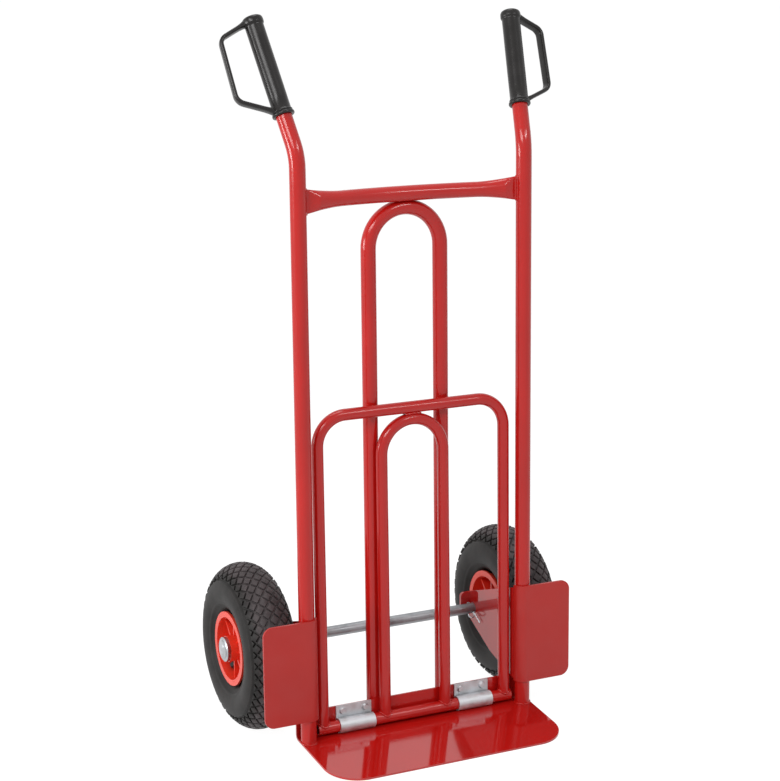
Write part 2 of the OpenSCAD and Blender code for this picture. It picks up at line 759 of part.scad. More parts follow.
module hinge_clip(s) color(zinc) leaned() difference() {
    start = 40;
    bore = fold_r + run_fit;
    joint = hinge_z + (bore + clip_t)*sin(start) - clip_t/4;
    translate([s*clip_x - clip_w/2, 0, 0]) rotate([90, 0, 90]) linear_extrude(clip_w) {
        translate([hinge_y, hinge_z]) ring_sector(bore, bore + clip_t, start, start + clip_wrap);
        translate([flange_y - clip_t - seat_gap, joint]) square([clip_t, clip_top - joint]);
    }
    for (b = [-1, 1])
        translate([s*clip_x + b*bolt_pitch/2, flange_y - clip_t - 2, bolt_z]) rotate([-90, 0, 0])
            cylinder(h = clip_t + 4, d = bolt_d + 2*seat_gap, $fn = 32);
}

// Each clip bolt's place on the clip's face, with Z pointing to the rear.
module bolt_places() {
    for (s = [-1, 1], b = [-1, 1])
        translate([s*clip_x + b*bolt_pitch/2, flange_y - clip_t - 2*seat_gap, bolt_z])
            rotate([-90, 0, 0]) children();
}

module clip_bolts() color(zinc) leaned() bolt_places() {
    stack = clip_t + toe_t + 2*seat_gap;
    cylinder(h = stack + nut_h + 2, d = bolt_d, $fn = 32);
    translate([0, 0, -bolt_head_h]) cylinder(h = bolt_head_h, d1 = bolt_head_d*0.7, d2 = bolt_head_d);
}

module clip_nuts() color(zinc) leaned() bolt_places()
    translate([0, 0, clip_t + toe_t + 3*seat_gap]) difference() {
        cylinder(h = nut_h, d = nut_d, $fn = 6);
        translate([0, 0, -1]) cylinder(h = nut_h + 2, d = bolt_d + 2*seat_gap, $fn = 32);
    }

// ---- grips ---------------------------------------------------------------

module grip(s) color(grip_black) leaned() side(s) handle_axis() {
    difference() {
        union() {
            translate([0, 0, grip_start])
                cylinder(h = grip_end - grip_start - grip_edge, d = grip_d);
            translate([0, 0, grip_start]) cylinder(h = collar_h, d = collar_d);
            translate([0, 0, grip_end - grip_cap_h])
                cylinder(h = grip_cap_h - grip_edge, d = grip_cap_d);
            translate([0, 0, grip_end - grip_edge])
                cylinder(h = grip_edge, d1 = grip_cap_d, d2 = grip_cap_d - 10);
            rotate([0, 0, strap_turn]) knuckle_guard();
        }
        translate([0, 0, grip_start - 1]) cylinder(h = handle_len - grip_start + 1 + seat_gap,
            r = grip_bore);
    }
}

// The strap that runs out from the grip's end, down beside the hand and back in.
module knuckle_guard() {
    root = grip_d/2 - 1.5;
    path = [
        [root, grip_end - grip_cap_h*0.62],
        [guard_top_out, grip_end - guard_top_drop],
        [guard_low_out, grip_start + guard_low_rise],
        [root, grip_start + collar_h + 2]
    ];
    half = strap_t/2;
    outer = strap_line(path, half, strap_corner_r + strap_t);
    inner = strap_line(path, -half, strap_corner_r);
    rotate([90, 0, 0]) translate([0, 0, -strap_w/2]) linear_extrude(strap_w)
        polygon(concat(outer, [for (i = [len(inner) - 1:-1:0]) inner[i]]));
}

// The strap's path moved sideways by d, with both corners rounded.
function shifted(a, b, d) = let (u = unit(b - a), n = [-u[1], u[0]]) [a + n*d, b + n*d];
function crossing(l, m) =
    let (u = l[1] - l[0], v = m[1] - m[0], w = m[0] - l[0],
         t = (w[0]*v[1] - w[1]*v[0])/(u[0]*v[1] - u[1]*v[0]))
    l[0] + t*u;
function strap_line(p, d, r) =
    let (l = [for (i = [0:2]) shifted(p[i], p[i + 1], d)],
         c1 = crossing(l[0], l[1]), c2 = crossing(l[1], l[2]))
    concat([l[0][0]], rounded_corner(l[0][0], c1, c2, r), rounded_corner(c1, c2, l[2][1], r),
        [l[2][1]]);

// ---- the assembly --------------------------------------------------------

upright(-1);  // left_upright
upright(1);  // right_upright
upper_crossbar();
back_arch();
toe_plate();
wheel_guard(-1);  // left_wheel_guard
wheel_guard(1);  // right_wheel_guard
axle_bracket(-1);  // left_axle_bracket
axle_bracket(1);  // right_axle_bracket
axle();
spacer(-1);  // left_spacer
spacer(1);  // right_spacer
split_pin(-1);  // left_split_pin
split_pin(1);  // right_split_pin
axle_cap(-1);  // left_axle_cap
axle_cap(1);  // right_axle_cap
rim_half(-1, 1);  // left_outer_rim
rim_half(-1, -1);  // left_inner_rim
rim_bolt_set(-1);  // left_rim_bolts
tyre(-1);  // left_tyre
inner_tube(-1);  // left_inner_tube
valve(-1);  // left_valve
bearings(-1);  // left_bearings
bearing_sleeve(-1);  // left_bearing_sleeve
rim_half(1, 1);  // right_outer_rim
rim_half(1, -1);  // right_inner_rim
rim_bolt_set(1);  // right_rim_bolts
tyre(1);  // right_tyre
inner_tube(1);  // right_inner_tube
valve(1);  // right_valve
bearings(1);  // right_bearings
bearing_sleeve(1);  // right_bearing_sleeve
fold_outer_tube();
fold_inner_arch();
fold_hinge_tube();
hinge_tube_plugs();
hinge_clip(-1);  // left_hinge_clip
hinge_clip(1);  // right_hinge_clip
clip_bolts();
clip_nuts();
grip(-1);  // left_grip
grip(1);  // right_grip
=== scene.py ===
import json
import math

import bmesh
import bpy
from mathutils import Matrix, Vector


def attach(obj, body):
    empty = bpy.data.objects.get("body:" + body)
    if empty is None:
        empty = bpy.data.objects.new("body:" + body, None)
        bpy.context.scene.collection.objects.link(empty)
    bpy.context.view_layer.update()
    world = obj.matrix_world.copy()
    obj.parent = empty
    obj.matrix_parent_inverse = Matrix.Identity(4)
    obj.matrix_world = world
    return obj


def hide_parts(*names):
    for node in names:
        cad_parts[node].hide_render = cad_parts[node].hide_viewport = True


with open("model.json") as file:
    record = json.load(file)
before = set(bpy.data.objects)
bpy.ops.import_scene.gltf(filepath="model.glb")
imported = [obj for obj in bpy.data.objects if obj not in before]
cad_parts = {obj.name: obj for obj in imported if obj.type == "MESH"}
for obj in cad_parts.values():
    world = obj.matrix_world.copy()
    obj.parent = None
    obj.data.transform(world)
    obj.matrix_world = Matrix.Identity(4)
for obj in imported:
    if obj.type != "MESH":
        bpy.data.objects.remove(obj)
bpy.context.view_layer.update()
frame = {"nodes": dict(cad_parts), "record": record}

mm = 0.001  # lengths are in metres and angles in degrees, unless a note says otherwise
mergeGap = 0.01 * mm  # points closer than this become one
nodes = frame["nodes"]
scene = bpy.context.scene
print("frame loaded:", len(nodes), "nodes")


# Small helpers.

def linear(hexText):
    # sRGB hex to the linear colour that the shaders want
    parts = [int(hexText[i:i + 2], 16) / 255 for i in (0, 2, 4)]
    return [c / 12.92 if c <= 0.04045 else ((c + 0.055) / 1.055) ** 2.4
            for c in parts] + [1.0]


def addNode(tree, kind, settings=None, links=None):
    # one node: settings are its own fields, links are constants, outputs, or nodes (first output)
    node = tree.nodes.new("ShaderNode" + kind)
    for field, value in (settings or {}).items():
        setattr(node, field, value)
    for socket, value in (links or {}).items():
        if isinstance(value, bpy.types.Node):
            value = value.outputs[0]
        if isinstance(value, bpy.types.NodeSocket):
            tree.links.new(value, node.inputs[socket])
        else:
            node.inputs[socket].default_value = value
    return node


def newMaterial(name):
    material = bpy.data.materials.new(name)
    material.use_nodes = True
    tree = material.node_tree
    tree.nodes.clear()
    return material, tree


def sideName(side):
    return "left" if side < 0 else "right"


def finishMesh(bm, name, material, body, sharpAngle):
    # the mesh as an object, smooth but for edges sharper than sharpAngle degrees
    mesh = bpy.data.meshes.new(name)
    bm.to_mesh(mesh)
    bm.free()
    mesh.shade_smooth()
    mesh.set_sharp_from_angle(angle=math.radians(sharpAngle))
    made = bpy.data.objects.new(name, mesh)
    scene.collection.objects.link(made)
    mesh.materials.append(material)
    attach(made, body)
    return made


# The camera: a little above the grips, left of the front, with a long lens.

camera = {"place": (-1.2885, -2.63063, 1.2281), "azimuth": -25.80, "elevation": 13.48,
          "lens": 91.69, "sensorWidth": 36, "farEnd": 50}
camData = bpy.data.cameras.new("studioCamera")
camData.lens = camera["lens"]
camData.sensor_fit = "HORIZONTAL"
camData.sensor_width = camera["sensorWidth"]
camData.clip_end = camera["farEnd"]
camObject = bpy.data.objects.new("studioCamera", camData)
camObject.location = camera["place"]
camObject.rotation_euler = (math.radians(90 - camera["elevation"]), 0,
                            math.radians(camera["azimuth"]))
scene.collection.objects.link(camObject)
scene.camera = camObject
scene.view_settings.view_transform = "Standard"
print("camera placed")


# The studio: a pale floor, an even world and four soft boxes.

studio = {"floorSize": 60.0, "floorShade": "f4f4f4", "shadowShare": 0.2, "glow": 1.2,
          "worldLight": 0.31}
# each lamp's place, what it points at, its width and height in metres, and its power in watts
lamps = {
    "keyBox": {"place": (-2.3, -1.7, 2.6), "target": (0, 0, 0.7), "size": (2.0, 0.8), "power": 43},
    "sideBox": {"place": (-4.8, 0.4, 1.0), "target": (0, 0, 0.6), "size": (2.0, 1.0), "power": 88},
    "fillBox": {"place": (1.3, -2.9, 2.9), "target": (0, 0, 0.6), "size": (1.4, 0.3), "power": 24},
    "topBox": {"place": (0, 0.3, 3.4), "target": (0, 0, 0.5), "size": (1.6, 1.0), "power": 25}}


def seenDirectly(tree):
    # 1 for rays from the camera and for rays through gloss or glass
    path = addNode(tree, "LightPath").outputs
    both = addNode(tree, "Math", {"operation": "MAXIMUM"},
                   {0: path["Is Camera Ray"], 1: path["Is Glossy Ray"]})
    return addNode(tree, "Math", {"operation": "MAXIMUM"},
                   {0: both, 1: path["Is Transmission Ray"]})


def buildWorld():
    world = bpy.data.worlds.new("paleStudio")
    world.use_nodes = True
    tree = world.node_tree
    tree.nodes.clear()
    strength = addNode(tree, "MapRange", None, {
        "Value": seenDirectly(tree), "To Min": studio["worldLight"], "To Max": 1.0})
    back = addNode(tree, "Background", None, {"Color": (1, 1, 1, 1), "Strength": strength})
    addNode(tree, "OutputWorld", None, {"Surface": back})
    scene.world = world


def buildFloor():
    # seen directly the floor glows white, and only shadowShare of it takes the real shadow
    material, tree = newMaterial("paleFloor")
    matt = addNode(tree, "BsdfDiffuse", None, {"Color": linear(studio["floorShade"])})
    glow = addNode(tree, "Emission", None, {
        "Color": (1, 1, 1, 1), "Strength": studio["glow"]})
    share = addNode(tree, "Math", {"operation": "MULTIPLY"},
                    {0: seenDirectly(tree), 1: 1 - studio["shadowShare"]})
    both = addNode(tree, "MixShader", None, {0: share, 1: matt, 2: glow})
    addNode(tree, "OutputMaterial", None, {"Surface": both})
    bm = bmesh.new()
    bmesh.ops.create_grid(bm, x_segments=1, y_segments=1, size=studio["floorSize"] / 2)
    mesh = bpy.data.meshes.new("floor")
    bm.to_mesh(mesh)
    bm.free()
    floor = bpy.data.objects.new("floor", mesh)
    floor.data.materials.append(material)
    scene.collection.objects.link(floor)


def addLamp(name, place, target, size, power):
    data = bpy.data.lights.new(name, "AREA")
    data.shape = "RECTANGLE"
    data.size, data.size_y = size
    data.energy = power
    lamp = bpy.data.objects.new(name, data)
    lamp.location = place
    aim = Vector(target) - Vector(place)
    lamp.rotation_euler = aim.to_track_quat("-Z", "Y").to_euler()
    scene.collection.objects.link(lamp)


buildWorld()
buildFloor()
for lampName, lampValues in lamps.items():
    addLamp(lampName, **lampValues)
print("studio built")


# The finishes, each named for what it is on the real thing; some colours also hold painted shade
# or sheen, as their notes say.

def shadeDrift(tree, cloud, first, second):
    # a colour that drifts between two close shades, over the middle of the cloud's range
    share = addNode(tree, "MapRange", None, {"Value": cloud, "From Min": 0.35, "From Max": 0.65})
    return addNode(tree, "Mix", {"data_type": "RGBA"},
                   {0: share, 6: linear(first), 7: linear(second)}).outputs[2]


# drift, haze and grain are the sizes of the pattern's lumps
paint = {"drift": 90 * mm, "haze": 30 * mm, "grain": 9 * mm, "grainDepth": 0.06 * mm,
         "frame": {"base": "c41a15", "deep": "bd1813", "roughness": 0.16, "peel": 0.05,
                   "ior": 1.45},
         "plate": {"base": "c41a16", "deep": "bd1915", "roughness": 0.07, "peel": 0.05,
                   "ior": 1.65},
         # the guards carry the frame's own paint: their darker base is painted shade, and their
         # softer sheen is real
         "guard": {"base": "ba2019", "deep": "b41e18", "roughness": 0.38, "peel": 0.2,
                   "ior": 1.5},
         "rim": {"base": "f0422c", "deep": "e83c28", "roughness": 0.3, "peel": 0.2,
                 "ior": 1.45}}


def redPowderCoat(name, base, deep, roughness, peel, ior):
    # polyester powder on steel: an even glossy red skin, with a faint orange peel in its glints;
    # such peel is about 2 mm across, and its lumps are drawn 9 mm wide so that they show
    material, tree = newMaterial(name)
    place = addNode(tree, "TexCoord").outputs["Object"]
    drift = addNode(tree, "TexNoise", None, {"Vector": place, "Scale": 1 / paint["drift"]})
    haze = addNode(tree, "TexNoise", None, {
        "Vector": place, "Scale": 1 / paint["haze"], "Detail": 3})
    grain = addNode(tree, "TexNoise", None, {"Vector": place, "Scale": 1 / paint["grain"]})
    gloss = addNode(tree, "MapRange", None, {
        "Value": haze, "From Min": 0.3, "From Max": 0.7,
        "To Min": roughness * 0.85, "To Max": roughness * 1.2})
    bump = addNode(tree, "Bump", None, {
        "Strength": peel, "Distance": paint["grainDepth"], "Height": grain})
    shader = addNode(tree, "BsdfPrincipled", None, {
        "Base Color": shadeDrift(tree, drift, base, deep), "Roughness": gloss,
        "IOR": ior, "Normal": bump})
    addNode(tree, "OutputMaterial", None, {"Surface": shader})
    return material


plating = {"cloud": 14 * mm, "marks": 0.9 * mm, "marksDepth": 0.03 * mm, "marksSquash": 0.08,
           "fitting": {"base": "a3a5a8", "pale": "c0c3c7", "roughness": 0.32},
           "sheet": {"base": "b4b6b8", "pale": "c9ccd0", "roughness": 0.55},
           "axle": {"base": "87898c", "pale": "9b9da0", "roughness": 0.42},
           "bearing": {"base": "a9abae", "pale": "b9bbbe", "roughness": 0.25}}


def zincPlate(name, base, pale, roughness):
    # bright zinc plate: a pale grey metal, slightly clouded, with fine drawing marks along X;
    # such marks are about 0.1 mm wide, and are drawn 0.9 mm wide so that they spread the sheen
    material, tree = newMaterial(name)
    place = addNode(tree, "TexCoord").outputs["Object"]
    cloud = addNode(tree, "TexNoise", None, {
        "Vector": place, "Scale": 1 / plating["cloud"], "Detail": 4})
    drawn = addNode(tree, "Mapping", None, {
        "Vector": place, "Scale": (plating["marksSquash"], 1, 1)})
    marks = addNode(tree, "TexNoise", None, {
        "Vector": drawn, "Scale": 1 / plating["marks"], "Detail": 3, "Roughness": 0.6})
    gloss = addNode(tree, "MapRange", None, {
        "Value": cloud, "From Min": 0.3, "From Max": 0.7,
        "To Min": roughness * 0.8, "To Max": roughness * 1.25})
    bump = addNode(tree, "Bump", None, {
        "Strength": 0.25, "Distance": plating["marksDepth"], "Height": marks})
    shader = addNode(tree, "BsdfPrincipled", None, {
        "Base Color": shadeDrift(tree, cloud, base, pale), "Metallic": 1.0,
        "Roughness": gloss, "Normal": bump})
    addNode(tree, "OutputMaterial", None, {"Surface": shader})
    return material


moulded = {"dust": 22 * mm,
           "grip": {"base": "13100f", "dusty": "191615", "roughness": 0.27, "ior": 1.4,
                    "pebble": 0.7 * mm, "depth": 0.001 * mm},
           "valve": {"base": "0e0e0e", "dusty": "141414", "roughness": 0.4, "ior": 1.5,
                     "pebble": 0.8 * mm, "depth": 0.03 * mm}}


def mouldedBlack(name, base, dusty, roughness, ior, pebble, depth):
    # soft vinyl or rubber from a mould: near black, with a fine pebble that spreads its sheen
    material, tree = newMaterial(name)
    place = addNode(tree, "TexCoord").outputs["Object"]
    dust = addNode(tree, "TexNoise", None, {
        "Vector": place, "Scale": 1 / moulded["dust"], "Detail": 4})
    grain = addNode(tree, "TexNoise", None, {
        "Vector": place, "Scale": 1 / pebble, "Detail": 3, "Roughness": 0.6})
    gloss = addNode(tree, "MapRange", None, {
        "Value": dust, "From Min": 0.3, "From Max": 0.7,
        "To Min": roughness * 0.88, "To Max": roughness * 1.12})
    bump = addNode(tree, "Bump", None, {"Strength": 0.5, "Distance": depth, "Height": grain})
    shader = addNode(tree, "BsdfPrincipled", None, {
        "Base Color": shadeDrift(tree, dust, base, dusty), "Roughness": gloss,
        "IOR": ior, "Normal": bump})
    addNode(tree, "OutputMaterial", None, {"Surface": shader})
    return material


# the right wheel's centre, and the left one lies at -x
wheel = {"x": 225 * mm, "y": 68.884 * mm, "z": 130 * mm}
# the crown's greyer, purplish shades are a painted sheen of light on the tread
rubber = {"wall": ("171514", "242120"), "crown": ("3a3435", "4e4748"), "wallEnd": 114 * mm,
          "crownStart": 122 * mm, "dust": 22 * mm, "pebble": 1.1 * mm, "depth": 0.05 * mm,
          "roughness": 0.55, "ior": 1.33}


def treadedRubber(name):
    # tyre rubber: a near black sidewall, and a greyer, dusty tread crown whose grey is a painted
    # sheen of light on the tread blocks
    material, tree = newMaterial(name)
    place = addNode(tree, "TexCoord").outputs["Object"]
    fromAxle = addNode(tree, "VectorMath", {"operation": "SUBTRACT"},
                       {0: place, 1: (0, wheel["y"], wheel["z"])})
    flat = addNode(tree, "VectorMath", {"operation": "MULTIPLY"}, {0: fromAxle, 1: (0, 1, 1)})
    radius = addNode(tree, "VectorMath", {"operation": "LENGTH"}, {0: flat}).outputs["Value"]
    paintedCrownSheen = addNode(tree, "MapRange", None, {
        "Value": radius, "From Min": rubber["wallEnd"], "From Max": rubber["crownStart"]})
    dust = addNode(tree, "TexNoise", None, {
        "Vector": place, "Scale": 1 / rubber["dust"], "Detail": 4})
    grain = addNode(tree, "TexNoise", None, {
        "Vector": place, "Scale": 1 / rubber["pebble"], "Detail": 3, "Roughness": 0.6})
    bump = addNode(tree, "Bump", None, {
        "Strength": 0.5, "Distance": rubber["depth"], "Height": grain})
    colour = addNode(tree, "Mix", {"data_type": "RGBA"}, {
        0: paintedCrownSheen, 6: shadeDrift(tree, dust, *rubber["wall"]),
        7: shadeDrift(tree, dust, *rubber["crown"])})
    shader = addNode(tree, "BsdfPrincipled", None, {
        "Base Color": colour.outputs[2], "Roughness": rubber["roughness"],
        "IOR": rubber["ior"], "Normal": bump})
    addNode(tree, "OutputMaterial", None, {"Surface": shader})
    return material


framePaint = redPowderCoat("redPowderCoat", **paint["frame"])
platePaint = redPowderCoat("redPowderCoatFlat", **paint["plate"])
guardPaint = redPowderCoat("redPowderCoatSatinPaintedShade", **paint["guard"])
rimPaint = redPowderCoat("redRimEnamel", **paint["rim"])
fittingZinc = zincPlate("zincPlatedSteel", **plating["fitting"])
sheetZinc = zincPlate("zincPlatedSheet", **plating["sheet"])
axleZinc = zincPlate("dulledZincPlate", **plating["axle"])
bearingSteel = zincPlate("groundBearingSteel", **plating["bearing"])
gripVinyl = mouldedBlack("blackGripVinyl", **moulded["grip"])
tyreRubber = treadedRubber("blackTyreRubber")
valveRubber = mouldedBlack("blackValveRubber", **moulded["valve"])

slotFinish = {"red_powder_coat": framePaint, "rim_red": rimPaint, "zinc_plate": fittingZinc,
              "bearing_steel": bearingSteel, "grip_black": gripVinyl, "tyre": tyreRubber,
              "black_rubber": valveRubber}


def finishFor(name, slotName):
    # sheet pieces and the axle have a finish of their own, and the rest follow their slot
    if "guard" in name:
        return guardPaint
    if name == "toe_plate" or "bracket" in name:
        return platePaint
    if "clip" in name:
        return sheetZinc
    if name == "axle":
        return axleZinc
    return slotFinish[slotName]


for part in frame["record"]["subparts"]:
    partMesh = nodes[part["node"]].data
    partMesh.materials.clear()
    partMesh.materials.append(finishFor(part["node"], part["material_slot"]))
print("finishes on")


# Growing skins: a ring of edges is extruded, and its new points go where a rule says.

def growRing(bm, edges):
    # the new ring's points and edges
    grown = bmesh.ops.extrude_edge_only(bm, edges=edges)["geom"]
    return ([v for v in grown if isinstance(v, bmesh.types.BMVert)],
            [e for e in grown if isinstance(e, bmesh.types.BMEdge)])


def growSkin(bm, rings):
    # a closed skin through rings of points: a capped circle, grown from ring to ring
    start = bmesh.ops.create_circle(bm, segments=len(rings[0]), radius=1, cap_ends=True)
    cap = start["verts"][0].link_faces[0]
    ring, edges = list(cap.verts), list(cap.edges)
    for vert, point in zip(ring, rings[0]):
        vert.co = point
    for points in rings[1:]:
        verts, edges = growRing(bm, edges)
        fresh = set(verts)
        ring = [next(e.other_vert(v) for e in v.link_edges if e.other_vert(v) in fresh)
                for v in ring]
        for vert, point in zip(ring, points):
            vert.co = point
    bmesh.ops.edgeloop_fill(bm, edges=edges)


def superRound(halfWide, halfHigh, power, steps):
    # points of a rounded outline: power 2 is an ellipse, more is boxier
    points = []
    for i in range(steps):
        turn = 2 * math.pi * i / steps
        c, s = math.cos(turn), math.sin(turn)
        points.append((halfWide * math.copysign(abs(c) ** (2 / power), c),
                       halfHigh * math.copysign(abs(s) ** (2 / power), s)))
    return points


# The tyres, with a tread of lozenge blocks.

tread = {"cells": 40, "rows": 5, "halfAngle": 63, "crown": 130 * mm, "section": 41 * mm,
         "groove": 1.25 * mm, "draft": 0.3 * mm, "depth": 2.5 * mm, "edge": 0.45 * mm,
         "wall": 6 * mm, "sharp": 28}
# the sidewall's rings, crown to bead: slant in degrees, and mm beyond the section's radius
sidewall = [(65, -1.6), (68, -0.5), (76, -0.2), (86, 0), (96, 0), (106, 0), (112, -0.1),
            (115, 0.5), (118, 0.5), (121, -0.2), (131, -0.2), (138, -0.5)]
innerSlants = (138, 110, 80, 50, 22)


def onTyre(turn, slant, section):
    # a point of the tyre's skin: turn round the axle and slant round the section, radians
    radius = tread["crown"] - tread["section"] + section * math.cos(slant)
    return Vector((section * math.sin(slant), radius * math.cos(turn), radius * math.sin(turn)))


def buildTread(bm):
    # a lattice of lozenge blocks: poked squares whose own edges are dissolved
    bmesh.ops.create_grid(bm, x_segments=tread["cells"], y_segments=tread["rows"], size=1)
    for edge in bm.edges:
        edge.seam = True
    bmesh.ops.poke(bm, faces=bm.faces[:])
    base = tread["section"] - tread["depth"] - tread["edge"] / 2
    for vert in bm.verts:
        vert.co = onTyre(math.pi * vert.co.x, math.radians(tread["halfAngle"]) * vert.co.y, base)
    bmesh.ops.remove_doubles(bm, verts=bm.verts[:], dist=mergeGap)
    inner = [e for e in bm.edges if e.seam and len(e.link_faces) == 2]
    bmesh.ops.dissolve_edges(bm, edges=inner, use_verts=False)
    for edge in bm.edges:
        edge.seam = False
    bmesh.ops.recalc_face_normals(bm, faces=bm.faces[:])
    blocks = bm.faces[:]
    for thickness, depth in ((tread["groove"], 0), (tread["draft"], tread["depth"]),
                             (tread["edge"], tread["edge"] / 2)):
        bmesh.ops.inset_individual(bm, faces=blocks, thickness=thickness, depth=depth,
                                   use_even_offset=True)
    crease = bm.edges.layers.float.new("crease_edge")
    for edge in bm.edges:
        edge[crease] = 1.0


def buildTyre(side, body):
    bm = bmesh.new()
    buildTread(bm)
    inside = tread["section"] - tread["wall"]
    rings = [(slant, tread["section"] + off * mm) for slant, off in sidewall]
    rings += [(slant, inside) for slant in innerSlants]
    lastRings = []
    for end in (-1, 1):
        edges = [e for e in bm.edges if len(e.link_faces) == 1
                 and all(v.co.x * end > 0 for v in e.verts)]
        for slant, section in rings:
            verts, edges = growRing(bm, edges)
            for vert in verts:
                turn = math.atan2(vert.co.z, vert.co.y)
                vert.co = onTyre(turn, math.radians(slant) * end, section)
        lastRings += edges
    bmesh.ops.bridge_loops(bm, edges=lastRings)
    bmesh.ops.recalc_face_normals(bm, faces=bm.faces[:])
    bmesh.ops.translate(bm, verts=bm.verts[:], vec=(wheel["x"] * side, wheel["y"], wheel["z"]))
    name = sideName(side)
    tyre = finishMesh(bm, name + "TreadedTyre", tyreRubber, body, tread["sharp"])
    rounding = tyre.modifiers.new("roundSidewalls", "SUBSURF")
    rounding.levels = rounding.render_levels = 1
    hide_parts(name + "_tyre")


buildTyre(-1, "left_wheel")
buildTyre(1, "right_wheel")
print("tyres built")


# The frame leans back: its pieces are worked out upright, then turned by this matrix.

frameSize = {"lean": 1.4, "middle": 65.633 * mm, "tubeX": 184 * mm, "tubeR": 12 * mm}
leaned = (Matrix.Translation((0, -frameSize["middle"], 0))
          @ Matrix.Rotation(math.radians(-frameSize["lean"]), 4, "X"))


# The crossbar: one bowed tube, flared and pressed flat at both ends.

crossbar = {"height": 830 * mm, "radius": 11.5 * mm, "bow": 24 * mm, "half": 171.9 * mm,
            "flare": 60 * mm, "flareRise": 6.6 * mm, "flarePower": 1.6, "flareThin": 0.12,
            "press": 19 * mm, "pressPower": 0.8, "boxier": 1.2, "tab": 3.5 * mm,
            "tabHalf": 1.75 * mm, "points": 48, "middleStep": 8 * mm, "middleRings": 13,
            "sharp": 40}
# where one end's rings lie, mm from its tip: close together where the tube is pressed flat
endRings = (0, 1.5, 3, 3.5, 4.2, 6, 9, 12, 15, 17.5, 19, 20, 22, 26, 31, 37, 44, 52, 60)


def crossbarRing(x):
    half, press, tab = crossbar["half"], crossbar["press"], crossbar["tab"]
    bend = (half ** 2 + crossbar["bow"] ** 2) / (2 * crossbar["bow"])
    y = crossbar["bow"] - bend + math.sqrt(bend ** 2 - x ** 2)
    along = half - abs(x)
    flare = max(0.0, 1 - along / crossbar["flare"])
    high = crossbar["radius"] + crossbar["flareRise"] * flare ** crossbar["flarePower"]
    share = min(1.0, max(0.0, (along - tab) / (press - tab)))
    full = crossbar["radius"] * (1 - crossbar["flareThin"] * flare)
    deep = crossbar["tabHalf"] + (full - crossbar["tabHalf"]) * share ** crossbar["pressPower"]
    power = 2 + crossbar["boxier"] * (1 - share)
    slant = x / bend
    return [leaned @ Vector((x + d * slant, y + d, crossbar["height"] + h))
            for d, h in superRound(deep, high, power, crossbar["points"])]


def buildCrossbar():
    half = crossbar["half"]
    right = [half - distance * mm for distance in endRings]
    right += [half - crossbar["flare"] - i * crossbar["middleStep"]
              for i in range(1, crossbar["middleRings"] + 1)]
    bm = bmesh.new()
    growSkin(bm, [crossbarRing(x) for x in sorted([-x for x in right] + [0.0] + right)])
    bmesh.ops.recalc_face_normals(bm, faces=bm.faces[:])
    bar = finishMesh(bm, "bowedCrossbar", framePaint, "frame",
                     crossbar["sharp"])
    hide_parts("upper_crossbar")


buildCrossbar()
print("crossbar built")


# The grips: a soft vinyl sleeve with a beaded collar, a domed end and a knuckle strap.

grip = {"bendStart": 877 * mm, "bendRadius": 80 * mm, "back": 25.7, "out": 8.1, "steps": 64,
        "sharp": 50}
strap = {"turn": 10, "halfWide": 7.5 * mm, "halfThick": 3.2 * mm, "boxy": 3.2, "points": 20,
         "step": 6 * mm, "cornerSteps": 8, "swellLength": 16 * mm, "rootSwell": 2.4 * mm,
         "footSwell": 1.6 * mm}
# sleeve profile from the bore's closed end round to the top: radius and height, mm
sleeveProfile = [
    (0, 204.1), (12.1, 204.1), (12.1, 62.0), (12.5, 61.2), (13.2, 61.0), (14.8, 61.0),
    (15.8, 61.4), (16.4, 62.3), (16.5, 63.6), (16.3, 65.0), (15.6, 65.9), (14.8, 66.3),
    (14.5, 66.7), (14.7, 67.2), (15.1, 67.7), (15.2, 68.4), (14.9, 69.2), (14.3, 69.7),
    (13.8, 70.6), (13.8, 90), (13.85, 120), (13.85, 150), (13.8, 180), (13.8, 199),
    (13.9, 200.6), (14.5, 201.6), (15.2, 202.5), (15.5, 204), (15.5, 208), (15.2, 210.3),
    (14.2, 212.2), (12.4, 213.4), (9.6, 214.1), (5, 214.4), (0, 214.5)]
# strap corners: distance out and height in mm, then the radius of the corner
strapCorners = [(11.5, 206.6, 0), (54, 192.5, 13), (58.5, 97.5, 16), (11.5, 70.5, 0)]


def handleMatrix(side):
    # from the handle's own axes, with Z along it and X outwards, to the object's
    sideways = math.tan(math.radians(grip["out"]))
    backwards = math.tan(math.radians(grip["back"]))
    turn = math.atan2(backwards, sideways)
    angle = math.atan(math.hypot(sideways, backwards))
    corner = grip["bendStart"] + grip["bendRadius"] * math.tan(angle / 2)
    mirrored = Matrix.Scale(-1, 4, (1, 0, 0)) if side < 0 else Matrix.Identity(4)
    return (leaned @ mirrored @ Matrix.Translation((frameSize["tubeX"], 0, corner))
            @ Matrix.Rotation(turn, 4, "Z") @ Matrix.Rotation(angle, 4, "Y")
            @ Matrix.Rotation(-turn, 4, "Z"))


def strapLine():
    # the strap's middle line with round corners
    points = [Vector((x * mm, 0, z * mm)) for x, z, radius in strapCorners]
    line = [points[0]]
    for i in (1, 2):
        radius = strapCorners[i][2] * mm
        back = (points[i - 1] - points[i]).normalized()
        ahead = (points[i + 1] - points[i]).normalized()
        half = back.angle(ahead) / 2
        centre = points[i] + (back + ahead).normalized() * radius / math.sin(half)
        arm = points[i] + back * radius / math.tan(half) - centre
        sweep = math.pi - 2 * half
        line += [centre + Matrix.Rotation(sweep * k / strap["cornerSteps"], 3, "Y") @ arm
                 for k in range(strap["cornerSteps"] + 1)]
    line.append(points[3])
    filled = []
    for a, b in zip(line, line[1:]):
        count = max(1, round((b - a).length / strap["step"]))
        filled += [a.lerp(b, k / count) for k in range(count)]
    return filled + [line[-1]]


